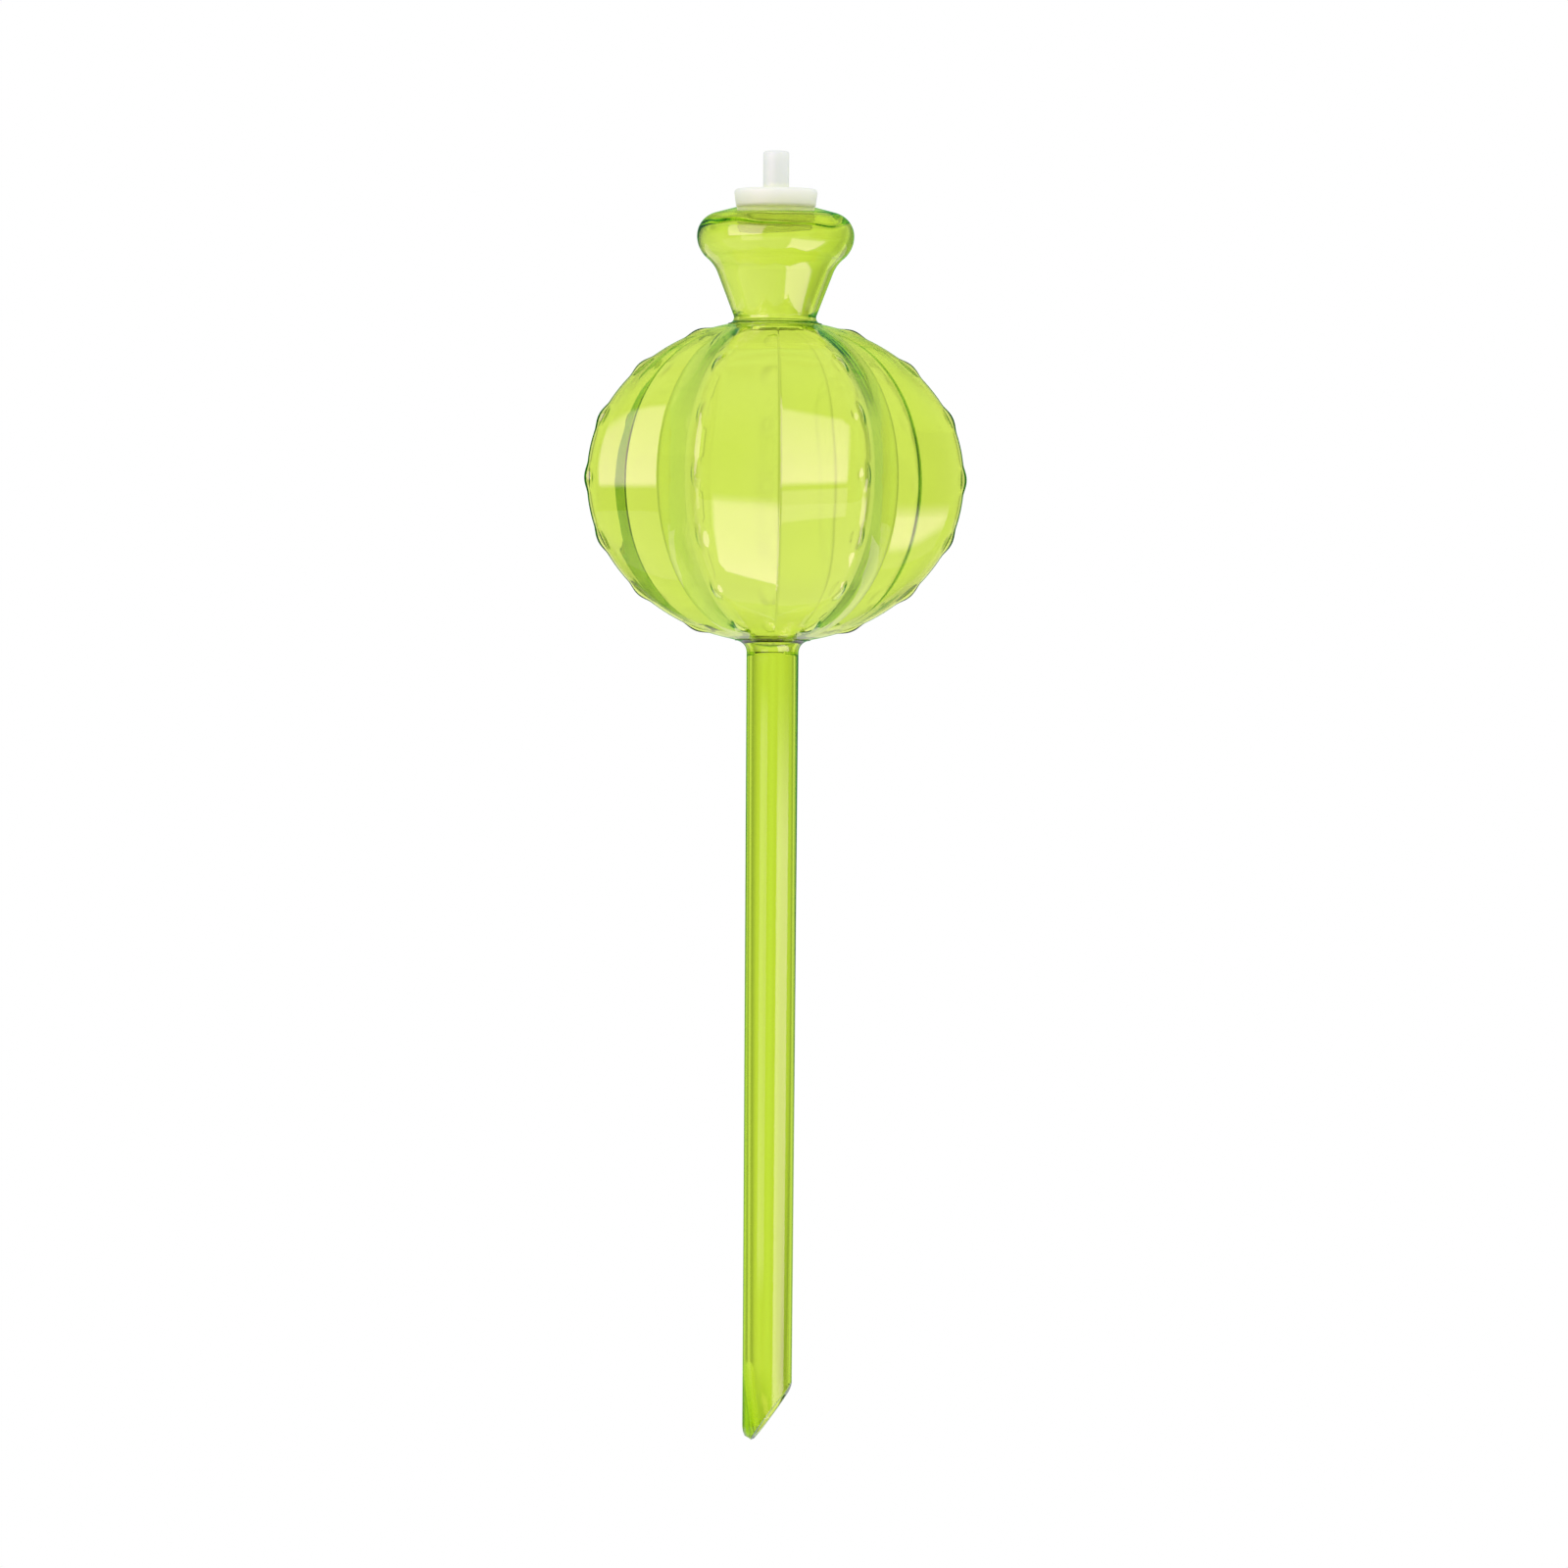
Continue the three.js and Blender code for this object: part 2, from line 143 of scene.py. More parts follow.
# Stopper
STOPPER_SEAT_GAP = 0.2 * MM
FLANGE_OVERLAP = 0.5 * MM
FLANGE_TAPER = 0.35 * MM
FLANGE_THICKNESS = 3.6 * MM
FLANGE_ROUND = 0.7 * MM
STEM_RADIUS = 2.65 * MM
STEM_ROUND = 0.6 * MM
STEM_FILLET = 0.5 * MM
SHANK_CHAMFER = 0.5 * MM
LIP_COUNT = 2
LIP_WIDTH = 1.4 * MM
LIP_HEIGHT = 0.3 * MM
LIP_CLEARANCE = 0.2 * MM

# Milky silicone, whose colours change between these heights and whose shank is partly clear; the
# yellow-green of the shank and disc is painted green light from the plastic about them, and the
# stem's darker grey is painted shade that offsets the light it gets
SHANK_PAINTED_GREEN_LIGHT = ((0.93, 0.995, 0.70), (0.94, 1.0, 0.72))
DISC_PAINTED_GREEN_LIGHT = ((0.96, 0.99, 0.78), (0.97, 0.995, 0.80))
STEM_PAINTED_SHADE = ((0.69, 0.71, 0.70), (0.71, 0.73, 0.72))
SHANK_TOP_LOW = 87.0 * MM
SHANK_TOP_HIGH = 88.5 * MM
STEM_SHADE_LOW = 91.0 * MM
STEM_SHADE_HIGH = 93.0 * MM
SHANK_COVER = 0.38
SILICONE_IOR = 1.41
SILICONE_ROUGHNESS = (0.38, 0.52)
CLOUD_SCALE = 160
CLOUD_DETAIL = 3
MATT_SCALE = 1500
MATT_DETAIL = 4
MATT_DEPTH = 0.02 * MM
SCATTER_RADIUS = (1, 1, 0.8)
SCATTER_DEPTH = 8 * MM

# Clear plastic: what it takes off each colour in a metre is (1 - tint) times density
PLASTIC_IOR = 1.5
PLASTIC_TINT = (0.89, 0.957, 0.35)
SHELL_DENSITY = 800.0
NECK_DENSITY = 800.0
TUBE_DENSITY = 1000.0
PLASTIC_DEEP = (0.87, 0.925, 0.47)
PLASTIC_PALE = (0.89, 0.935, 0.51)
PLASTIC_ROUGHNESS = (0.005, 0.02)
CUT_ROUGHNESS = 0.14
CUT_DULL_LOW = 10.0 * MM
CUT_DULL_HIGH = 26.0 * MM
FLOW_SCALE = 55
FLOW_DETAIL = 2
FLOW_DEPTH = 0.04 * MM
GRAIN_SCALE = 420
GRAIN_DETAIL = 3
GRAIN_DEPTH = 0.001 * MM
TUBE_STRETCH = 12
NOISE_LOW = 0.3
NOISE_HIGH = 0.7

# Stage
AMBIENT_LIGHT = 1.0
MIRRORED_COLOUR = (0.18, 0.50, 0.21)
GAP_LIGHT = 0.5
WALL_COUNT = 8
FLOOR_SIDE = 4.0
FLOOR_DROP = 0.35
FLOOR_COLOURS = ((0.74, 0.74, 0.74), (0.76, 0.76, 0.76))
FLOOR_CLOUD_SCALE = 3
FLOOR_CLOUD_DETAIL = 2
FLOOR_ROUGHNESS = 0.9
FLOOR_GLOW = 0.26
PANEL_COLOUR = (1.0, 0.58, 0.82)
PANEL_EDGE = 0.1
FLAG_STEP = 2.0 * MM
FLAG_GAP = 1.0 * MM
FLAG_REACH = 0.6
FLAG_FORWARD = 0.27
CAMERA_DISTANCE = 1.9
CAMERA_X = 2.54 * MM
CAMERA_Z = -29.8 * MM
CAMERA_ROLL = -0.0075
VIEW_WIDTH = 0.320
MOST_BOUNCES = 96
CLEAR_BOUNCES = 64


class Panel(NamedTuple):
    """A soft panel, with its edges by distance and height and the share of light at each edge"""
    name: str
    azimuth: float
    low_edge: tuple
    high_edge: tuple
    width: float
    brightness: float
    shares: tuple


PANELS = (
    Panel("upper_left", -46, (0.479, -0.004), (0.361, 0.352), 0.5, 5.8, (1.2, 0.6)),
    Panel("lower_left", -36, (0.45, CAD_LOW.z), (0.45, -0.004), 0.3, 2.0, (1.0, 1.0)),
    Panel("lower_right", 53, (0.25, -0.48), (0.25, -0.002), 0.3, 4.6, (1.3, 1.0)),
)

# Mesh density
GLOBE_ROWS = 190
INNER_ROWS = 130
CREST_BAND = 0.09
CREST_STEPS = 12
FLANK_STEPS = 4
VALLEY_BAND = 3
VALLEY_PLACES = (2.0, 1.4, 0.9, 0.5)
FINE_STEPS = 20000
FINE_PER_ROW = 8
STAKE_ROWS = 180
HALVINGS = 40
ROUND_STEPS = 160
ARC_STEPS = 24
LONGEST_STEP = 1.0 * MM
SHORTEST_STEP = 0.001 * MM
EDGE_STEPS = 6
HOLE_ROWS = 6
SHARP_TURN = math.radians(35)
NEARLY_HALF = 0.45

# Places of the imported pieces
STAKE_LOW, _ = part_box("stake_tube")
GLOBE_LOW, GLOBE_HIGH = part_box("ribbed_globe")
_, NECK_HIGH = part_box("mouth_neck")
STOPPER_LOW, STOPPER_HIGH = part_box("stopper")

# Sizes that follow from those above
RIB_PITCH = 2 * math.pi / RIB_COUNT
HALF_RIB = RIB_PITCH / 2
SHARP_CREST_RADIUS = (
    CREST_RADIUS * VALLEY_RADIUS * math.sin(HALF_RIB - CREST_SOFTNESS)
    / (VALLEY_RADIUS * math.sin(HALF_RIB) - CREST_RADIUS * math.sin(CREST_SOFTNESS))
)
NECK_FOOT_RADIUS = WAIST_RADIUS + NECK_FOOT_ROUND
NECK_WAIST_HEIGHT = NECK_FOOT_EDGE + NECK_FOOT_ROUND
NECK_LEAN = math.atan2(
    BULGE_RADIUS - NECK_FLARE - WAIST_RADIUS, BULGE_HEIGHT - NECK_WAIST_HEIGHT
)
NECK_CONE = 180 - math.degrees(NECK_LEAN)
NECK_ALONG = np.array([math.sin(NECK_LEAN), math.cos(NECK_LEAN)])
NECK_OUTWARD = np.array([math.cos(NECK_LEAN), -math.sin(NECK_LEAN)])
NECK_FOOT = np.array([NECK_FOOT_RADIUS, NECK_WAIST_HEIGHT])
RIM_RADIUS = MOUTH_RADIUS + RIM_WIDTH
DOME_FALL = math.degrees(DOME_SLOPE)
NECK_FLOOR_ANGLE = math.asin(NECK_WAIST_HEIGHT / (NECK_FOOT_ROUND + NECK_WALL))
NECK_HOLE = NECK_FOOT_RADIUS - (NECK_FOOT_ROUND + NECK_WALL) * math.cos(NECK_FLOOR_ANGLE)
STAKE_BORE = STAKE_HEAD_RADIUS - STAKE_WALL
STAKE_FOOT_RADIUS = STAKE_HEAD_RADIUS + STAKE_FOOT_ROUND
STAKE_FLARE_HEIGHT = STAKE_FOOT_EDGE + STAKE_FOOT_ROUND
STAKE_FLARE_ANGLE = math.asin(STAKE_FLARE_HEIGHT / (STAKE_FOOT_ROUND + STAKE_WALL))
STAKE_HOLE = STAKE_FOOT_RADIUS - (STAKE_FOOT_ROUND + STAKE_WALL) * math.cos(STAKE_FLARE_ANGLE)


def arc(x, y, width, start, end, height=None):
    """Points on a round, or on an oval of its own height, between two angles in degrees"""
    angles = np.radians(np.linspace(start, end, ARC_STEPS + 1))
    return np.column_stack([x + width * np.cos(angles), y + (height or width) * np.sin(angles)])


def subdivided(points):
    """The same outline with no step longer than LONGEST_STEP and no point twice"""
    made = [points[:1]]
    for start, end in zip(points[:-1], points[1:]):
        count = math.ceil((np.linalg.norm(end - start) - SHORTEST_STEP) / LONGEST_STEP)
        shares = np.linspace(0, 1, count + 1)[1:, None]
        made.append(start + (end - start) * shares)
    return np.concatenate(made)


def turned(radii, heights, azimuths):
    """Rows of points about the Z axis"""
    radii, heights, azimuths = np.broadcast_arrays(radii, heights, azimuths)
    return np.stack([radii * np.sin(azimuths), -radii * np.cos(azimuths), heights], axis=-1)


def add_piece(name, rows, node, body, material, ends_on_axis=False):
    """A closed mesh through rows of points, which join round to the first row or end in points"""
    count, columns = rows.shape[:2]
    index = np.arange(count * columns).reshape(count, columns)
    loop = index if ends_on_axis else np.vstack([index, index[:1]])
    low, high = loop[:-1], loop[1:]
    quads = np.stack([low, np.roll(low, -1, 1), np.roll(high, -1, 1), high], axis=-1)
    faces = quads.reshape(-1, 4).tolist()
    points = rows.reshape(-1, 3).tolist()
    if ends_on_axis:
        for ring, step in ((index[0], 1), (index[-1], -1)):
            points.append(np.mean(rows.reshape(-1, 3)[ring], axis=0).tolist())
            centre = len(points) - 1
            ring = ring[::-step]
            faces += [(centre, a, b) for a, b in zip(ring.tolist(), np.roll(ring, -1).tolist())]
    mesh = bpy.data.meshes.new(name)
    mesh.from_pydata(points, [], faces)
    mesh.validate()
    mesh.shade_smooth()
    mesh.materials.append(material)
    piece = bpy.data.objects.new(name, mesh)
    bpy.context.scene.collection.objects.link(piece)
    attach(piece, body)
    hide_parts(node)
    return piece


def revolve(profile):
    azimuths = np.linspace(0, 2 * math.pi, ROUND_STEPS, endpoint=False)
    return turned(profile[:, :1], profile[:, 1:], azimuths)


def towards_by(point, target, distance):
    """A point moved towards another, but never as far as half-way"""
    way = target - point
    length = np.linalg.norm(way, axis=-1, keepdims=True)
    return point + way * np.minimum(distance / length, NEARLY_HALF)


def rounded_edge(before, corner, after, size):
    """Points of a small round at a corner, or at one corner in every column"""
    start = towards_by(corner, before, size)
    end = towards_by(corner, after, size)
    made = []
    for share in np.linspace(0, 1, EDGE_STEPS):
        first = start + (corner - start) * share
        second = corner + (end - corner) * share
        made.append(first + (second - first) * share)
    return np.stack(made)


def eased(points):
    """An outline whose corners, its two ends included, are a little round"""
    points = np.asarray(points, dtype=float)
    made = []
    for before, corner, after in zip(np.roll(points, 1, 0), points, np.roll(points, -1, 0)):
        back, on = before - corner, after - corner
        sharp = back @ on > -math.cos(SHARP_TURN) * np.linalg.norm(back) * np.linalg.norm(on)
        made.append(rounded_edge(before, corner, after, EDGE_ROUND) if sharp else corner[None])
    return np.concatenate(made)


# Ribbed globe: an oval of revolution whose level sections are stars with straight flanks

GLOBE_CENTRE = GLOBE_LOW.z + CENTRE_HEIGHT
GLOBE_BASE = GLOBE_LOW.z - SEAT_SINK


def oval_width(angle):
    return np.cos(angle) ** (2 / GLOBE_FULLNESS)


def oval_height(angle):
    return np.sign(angle) * np.abs(np.sin(angle)) ** (2 / GLOBE_FULLNESS)


def oval_angle(radius):
    return math.acos((radius / CREST_RADIUS) ** (GLOBE_FULLNESS / 2))


LOW_HALF_HEIGHT = (GLOBE_CENTRE - GLOBE_BASE) / float(oval_height(oval_angle(LOWER_SEAT_RADIUS)))
TOP_HALF_HEIGHT = (GLOBE_HIGH.z - GLOBE_CENTRE) / float(oval_height(oval_angle(TOP_SEAT_RADIUS)))


def half_height(angle):
    return np.where(angle < 0, LOW_HALF_HEIGHT, TOP_HALF_HEIGHT)


def beside_valley(azimuths):
    """Angle from the nearest valley"""
    return np.abs((azimuths - RIB_TURN + HALF_RIB) % RIB_PITCH - HALF_RIB)


def star(azimuths, softness=CREST_SOFTNESS):
    """Radius of the equator at an azimuth, with softened crests and valleys"""
    from_valley = beside_valley(azimuths)
    from_crest = np.hypot(HALF_RIB - np.hypot(from_valley, VALLEY_SOFTNESS), softness)
    area = SHARP_CREST_RADIUS * VALLEY_RADIUS * math.sin(HALF_RIB)
    across = SHARP_CREST_RADIUS * np.sin(from_crest) + VALLEY_RADIUS * np.sin(HALF_RIB - from_crest)
    return area / across


def inner_star(azimuths, softness, thinning):
    """Radius of the equator inside, under the outer one by a wall that is thinner on the crests"""
    fine = np.linspace(0, 2 * math.pi, FINE_STEPS, endpoint=False)
    outline = star(fine, softness) * np.exp(1j * fine)
    way = np.roll(outline, -1) - np.roll(outline, 1)
    from_crest = HALF_RIB - beside_valley(fine)
    wall = GLOBE_WALL - thinning * np.exp(-((from_crest / THINNING_SPREAD) ** 2))
    inset = outline + 1j * wall * way / np.abs(way)
    order = np.argsort(np.angle(inset))
    return np.interp(azimuths, np.angle(inset)[order], np.abs(inset)[order], period=2 * math.pi)


def rib_azimuths():
    """Azimuths round the globe, closest together on the crests"""
    band = np.linspace(0, CREST_BAND, CREST_STEPS, endpoint=False)
    flank = np.linspace(CREST_BAND, HALF_RIB - VALLEY_BAND * VALLEY_SOFTNESS, FLANK_STEPS)
    valley = HALF_RIB - VALLEY_SOFTNESS * np.array(VALLEY_PLACES)
    half = np.concatenate([band, flank, valley])
    rib = np.concatenate([[-HALF_RIB], -half[:0:-1], half])
    crests = RIB_TURN + (np.arange(RIB_COUNT) + 0.5) * RIB_PITCH
    return (crests[:, None] + rib).reshape(-1)


def ribbed(angles, crest, pole_wall, equator):
    """Radii and heights of a ribbed oval, which is round at its seats"""
    round_radii = crest * oval_width(angles)
    seats = np.where(angles < 0, LOWER_SEAT_RADIUS, TOP_SEAT_RADIUS) * crest / CREST_RADIUS
    rise = np.clip((round_radii - seats) / (crest - seats), 0, 1) ** RIB_FADE
    radii = round_radii * (1 + (equator / crest - 1) * rise)
    return radii, GLOBE_CENTRE + (half_height(angles) - pole_wall) * oval_height(angles)


def even_angles(rows, low_radius, top_radius):
    """Parameter angles evenly spaced along a crest between two seats, and their way along it"""
    fine = np.linspace(-oval_angle(low_radius), oval_angle(top_radius), FINE_PER_ROW * rows)
    path = np.column_stack([CREST_RADIUS * oval_width(fine), half_height(fine) * oval_height(fine)])
    along = np.concatenate([[0], np.cumsum(np.linalg.norm(np.diff(path, axis=0), axis=1))])
    even = np.linspace(0, along[-1], rows)
    return np.interp(even, along, fine), even


def add_spines(radii, heights, angles, along, azimuths):
    """Raises a row of lens-shaped ridges along every crest"""
    out = oval_width(angles) ** (GLOBE_FULLNESS - 1) / CREST_RADIUS
    up = np.sign(angles) * np.abs(oval_height(angles)) ** (GLOBE_FULLNESS - 1) / half_height(angles)
    steep = np.hypot(out, up)
    from_crest = (azimuths - RIB_TURN) % RIB_PITCH - HALF_RIB
    across = radii * from_crest / (SPINE_WIDTH / 2)
    raised = np.zeros_like(across)
    for i in range(SPINES_PER_RIB):
        angle = (i - (SPINES_PER_RIB - 1) / 2) * SPINE_SPACING
        middle = np.interp(angle, angles[:, 0], along)
        lengthwise = (along[:, None] - middle) / (SPINE_LENGTH / 2)
        raised += SPINE_HEIGHT * np.clip(1 - lengthwise**2 - across**2, 0, 1) ** 2
    return radii + raised * out / steep, heights + raised * up / steep


def end_share(angles):
    """0 round the middle of the globe and 1 towards its seats"""
    return np.clip((np.abs(oval_height(angles)) - END_START) / (END_FULL - END_START), 0, 1)


def globe_side(rows, seats, wall, pole_wall, equator_at, azimuths):
    """Radii and heights of the outer or the inner surface, with its spines"""
    crest = CREST_RADIUS - wall
    angles, along = even_angles(rows, *(seat * CREST_RADIUS / crest for seat in seats))
    angles = angles[:, None]
    radii, heights = ribbed(angles, crest, pole_wall, equator_at(angles))
    return add_spines(radii, np.broadcast_to(heights, radii.shape), angles, along, azimuths)


def globe_rows():
    azimuths = rib_azimuths()[None, :]
    seats = (LOWER_SEAT_RADIUS, TOP_SEAT_RADIUS)
    holes = (STAKE_HOLE, NECK_HOLE)
    from_parting = np.sin((azimuths - RIB_TURN) / 2) * 2 / PARTING_WIDTH
    parting = PARTING_DEPTH * np.exp(-(from_parting**2))
    sharp_inside = inner_star(azimuths, CREST_SOFTNESS, CREST_THINNING)
    soft_inside = inner_star(azimuths, END_SOFTNESS, END_THINNING)

    def outer_at(angles):
        softness = CREST_SOFTNESS + (END_SOFTNESS - CREST_SOFTNESS) * end_share(angles)
        return star(azimuths, softness) - parting

    def inner_at(angles):
        return sharp_inside + (soft_inside - sharp_inside) * end_share(angles)

    outside = globe_side(GLOBE_ROWS, seats, 0, 0, outer_at, azimuths)
    inside = globe_side(INNER_ROWS, holes, GLOBE_WALL, POLE_WALL, inner_at, azimuths)
    outer = turned(*outside, azimuths)
    inner = turned(*inside, azimuths)[::-1]
    top_edge = turned(NECK_HOLE, outer[-1:, :, 2], azimuths)[0]
    low_edge = turned(STAKE_HOLE, outer[:1, :, 2], azimuths)[0]
    return np.concatenate([
        rounded_edge(low_edge, outer[0], outer[1], EDGE_ROUND),
        outer[1:-1],
        rounded_edge(outer[-2], outer[-1], top_edge, EDGE_ROUND),
        rounded_edge(outer[-1], top_edge, inner[0], EDGE_ROUND),
        rounded_edge(top_edge, inner[0], inner[HOLE_ROWS], HOLE_ROUND),
        inner[HOLE_ROWS:-HOLE_ROWS],
        rounded_edge(inner[-HOLE_ROWS - 1], inner[-1], low_edge, HOLE_ROUND),
        rounded_edge(inner[-1], low_edge, outer[0], EDGE_ROUND),
    ])


# Neck: a cone that sweeps out into a rounded bulge, with a domed top and a turned-in mouth

def dome_height(radius, inset):
    """Height of the cone that rises inwards from the bulge, under its outer surface by an inset"""
    bulge_round = BULGE_ROUND - inset
    edge_radius = BULGE_RADIUS - BULGE_ROUND + bulge_round * math.sin(DOME_SLOPE)
    edge_height = BULGE_HEIGHT + bulge_round * math.cos(DOME_SLOPE)
    return edge_height + (edge_radius - radius) * math.tan(DOME_SLOPE)


def neck_side(inset):
    """Arcs of the sweep and the bulge, under their outer surface by an inset"""
    beside = NECK_FOOT + NECK_OUTWARD * (NECK_SWEEP_ROUND - NECK_FOOT_ROUND)
    bulge = np.array([BULGE_RADIUS - BULGE_UNDER_ROUND, BULGE_HEIGHT])
    lead = (beside - bulge) @ NECK_ALONG
    reach = BULGE_UNDER_ROUND + NECK_SWEEP_ROUND
    climb = -lead - math.sqrt(lead**2 - (beside - bulge) @ (beside - bulge) + reach**2)
    sweep = beside + NECK_ALONG * climb
    to_bulge = math.degrees(math.atan2(*(bulge - sweep)[::-1]))
    return np.concatenate([
        arc(*sweep, NECK_SWEEP_ROUND + inset, NECK_CONE, to_bulge),
        arc(*bulge, BULGE_UNDER_ROUND - inset, to_bulge - 180, 0),
        arc(BULGE_RADIUS - BULGE_ROUND, BULGE_HEIGHT, BULGE_ROUND - inset, 0, 90 - DOME_FALL),
    ])


def neck_outside():
    rim_height = dome_height(RIM_RADIUS, 0)
    return np.concatenate([
        [[NECK_FOOT_RADIUS, 0]],
        arc(*NECK_FOOT, NECK_FOOT_ROUND, 270, NECK_CONE),
        neck_side(0),
        arc(RIM_RADIUS - RIM_ROUND, rim_height - RIM_ROUND, RIM_ROUND, 90 - DOME_FALL, 90),
        arc(MOUTH_RADIUS + RIM_ROUND, rim_height - RIM_ROUND, RIM_ROUND, 90, 180),
    ])


def neck_inside():
    mouth_low = dome_height(MOUTH_RADIUS + RIM_ROUND, NECK_WALL) + RIM_ROUND
    floor = 180 + math.degrees(NECK_FLOOR_ANGLE)
    return np.concatenate([
        arc(MOUTH_RADIUS + RIM_ROUND, mouth_low, RIM_ROUND, 180, 270 - DOME_FALL),
        neck_side(NECK_WALL)[::-1],
        arc(*NECK_FOOT, NECK_FOOT_ROUND + NECK_WALL, NECK_CONE, floor),
    ])


def neck_rows():
    """Rows of the neck, whose bore lies a little to the left and has a wavy fold under the dome"""
    outside = neck_outside()
    outline = eased(subdivided(np.concatenate([outside, neck_inside()])))
    base = NECK_HIGH.z - outside[:, 1].max()
    azimuths = np.linspace(0, 2 * math.pi, ROUND_STEPS, endpoint=False)
    rows = revolve(outline + [0, base])
    first_inside = int(np.argmin(np.linalg.norm(outline - neck_inside()[0], axis=1)))
    heights = outline[first_inside:, 1:]
    wave = sum(np.sin(count * azimuths + count**2) / count for count in FOLD_WAVES)
    near_fold = (heights - FOLD_HEIGHT - FOLD_WAVE * wave) / FOLD_WIDTH
    fold = FOLD_DEPTH * np.exp(-near_fold**2)
    low_share = np.clip(heights / NECK_WAIST_HEIGHT - 1, 0, 1)
    high_share = np.clip((BULGE_HEIGHT + BULGE_ROUND / 2 - heights) / BULGE_ROUND, 0, 1)
    inside = rows[first_inside:]
    inside[:, :, 0] -= NECK_BORE_SHIFT * low_share * high_share + fold * np.sin(azimuths)
    inside[:, :, 1] += fold * np.cos(azimuths)
    inside[:, :, 2] -= fold
    return rows


# Stake: a slightly tapered tube, cut off at a slant

def cut_height(offset, tip_z):
    """Height of the slanted cut at an offset from the axis towards its opening"""
    along = np.array([math.sin(BEVEL_ANGLE), math.cos(BEVEL_ANGLE)])
    inward = np.array([-along[1], along[0]])
    tip = np.array([TIP_EDGE - STAKE_TIP_RADIUS, tip_z])
    side = STAKE_TIP_RADIUS + HEEL_CLEARANCE
    climb = (side - HEEL_ROUND - tip[0] - HEEL_ROUND * inward[0]) / along[0]
    heel = tip + along * climb + inward * HEEL_ROUND
    flat = tip[1] + (offset - tip[0]) / math.tan(BEVEL_ANGLE)
    bend = heel[1] - np.sqrt(np.clip(HEEL_ROUND**2 - (offset - heel[0]) ** 2, 0, None))
    return np.where(offset > heel[0] + HEEL_ROUND * math.cos(BEVEL_ANGLE), bend, flat)


def towards_cut(azimuths):
    """1 on the side that the slanted cut opens to, and -1 on the side of the tip"""
    return np.cos(azimuths - math.pi / 2 + BEVEL_TURN)


def stake_outer(heights, azimuths, top_z, tip_z):
    """Radius outside at a height, the same all round"""
    straight_top = top_z - STAKE_FLARE_HEIGHT
    round_z = tip_z + TIP_ROUND_HEIGHT
    share = np.clip((straight_top - heights) / (straight_top - round_z), 0, 1)
    tapered = STAKE_HEAD_RADIUS + (STAKE_TIP_RADIUS - STAKE_HEAD_RADIUS) * share
    sunk = np.clip((round_z - heights) / TIP_ROUND_HEIGHT, 0, 1)
    return tapered - TIP_ROUND_WIDTH * (1 - np.sqrt(1 - sunk**2))


def stake_inner(heights, azimuths, top_z, tip_z):
    """Radius of the bore, which is not quite round and turns slowly on its way down"""
    share = np.clip((top_z - heights) / (top_z - tip_z), 0, 1)
    turn = heights / BORE_WANDER_LENGTH
    wander = sum(np.cos(count * azimuths + turn + count**2) / (count - 1) for count in BORE_WAVES)
    straight = STAKE_BORE + (STAKE_TIP_RADIUS - STAKE_HEAD_RADIUS) * share
    near_tip = np.clip((tip_z + BORE_END_LENGTH - heights) / BORE_END_LENGTH, 0, 1)
    tip_change = BORE_END_SHIFT * towards_cut(azimuths) - BORE_END_TAPER
    return straight + BORE_WANDER * wander + tip_change * near_tip


def cut_end(radius_at, azimuths, towards, top_z, tip_z):
    """Height at which each line down the tube meets the cut, found by halving"""
    low = np.full_like(towards, tip_z)
    high = np.full_like(towards, top_z - STAKE_FLARE_HEIGHT)
    for _ in range(HALVINGS):
        middle = (low + high) / 2
        above = middle > cut_height(radius_at(middle, azimuths, top_z, tip_z) * towards, tip_z)
        low, high = np.where(above, low, middle), np.where(above, middle, high)
    return high


def stake_rows():
    top_z = GLOBE_BASE - BOND_GAP
    tip_z = STAKE_LOW.z
    azimuths = np.linspace(0, 2 * math.pi, ROUND_STEPS, endpoint=False)
    towards = towards_cut(azimuths)
    neck_line = top_z - STAKE_FLARE_HEIGHT
    shares = np.linspace(0, 1, STAKE_ROWS)[:, None]

    outer_end = cut_end(stake_outer, azimuths, towards, top_z, tip_z)
    inner_end = cut_end(stake_inner, azimuths, towards, top_z, tip_z)
    outer_z = outer_end + (neck_line - outer_end) * shares
    inner_z = inner_end + (neck_line - inner_end) * shares
    outer = turned(stake_outer(outer_z, azimuths, top_z, tip_z), outer_z, azimuths)
    inner = turned(stake_inner(inner_z, azimuths, top_z, tip_z), inner_z, azimuths)

    outer_edge = rounded_edge(inner[0], outer[0], outer[-1], CUT_ROUND)
    inner_edge = rounded_edge(inner[-1], inner[0], outer[0], CUT_ROUND)
    flare = 180 - math.degrees(STAKE_FLARE_ANGLE)
    head = np.concatenate([
        arc(STAKE_FOOT_RADIUS, neck_line, STAKE_FOOT_ROUND, 180, 90),
        [[STAKE_FOOT_RADIUS, top_z]],
        arc(STAKE_FOOT_RADIUS, neck_line, STAKE_FOOT_ROUND + STAKE_WALL, flare, 180),
    ])
    return np.concatenate([
        outer_edge,
        outer[1:-1],
        revolve(head),
        inner[:0:-1],
        inner_edge,
    ])


# Stopper: flange, pull stem and a shank with sealing lips

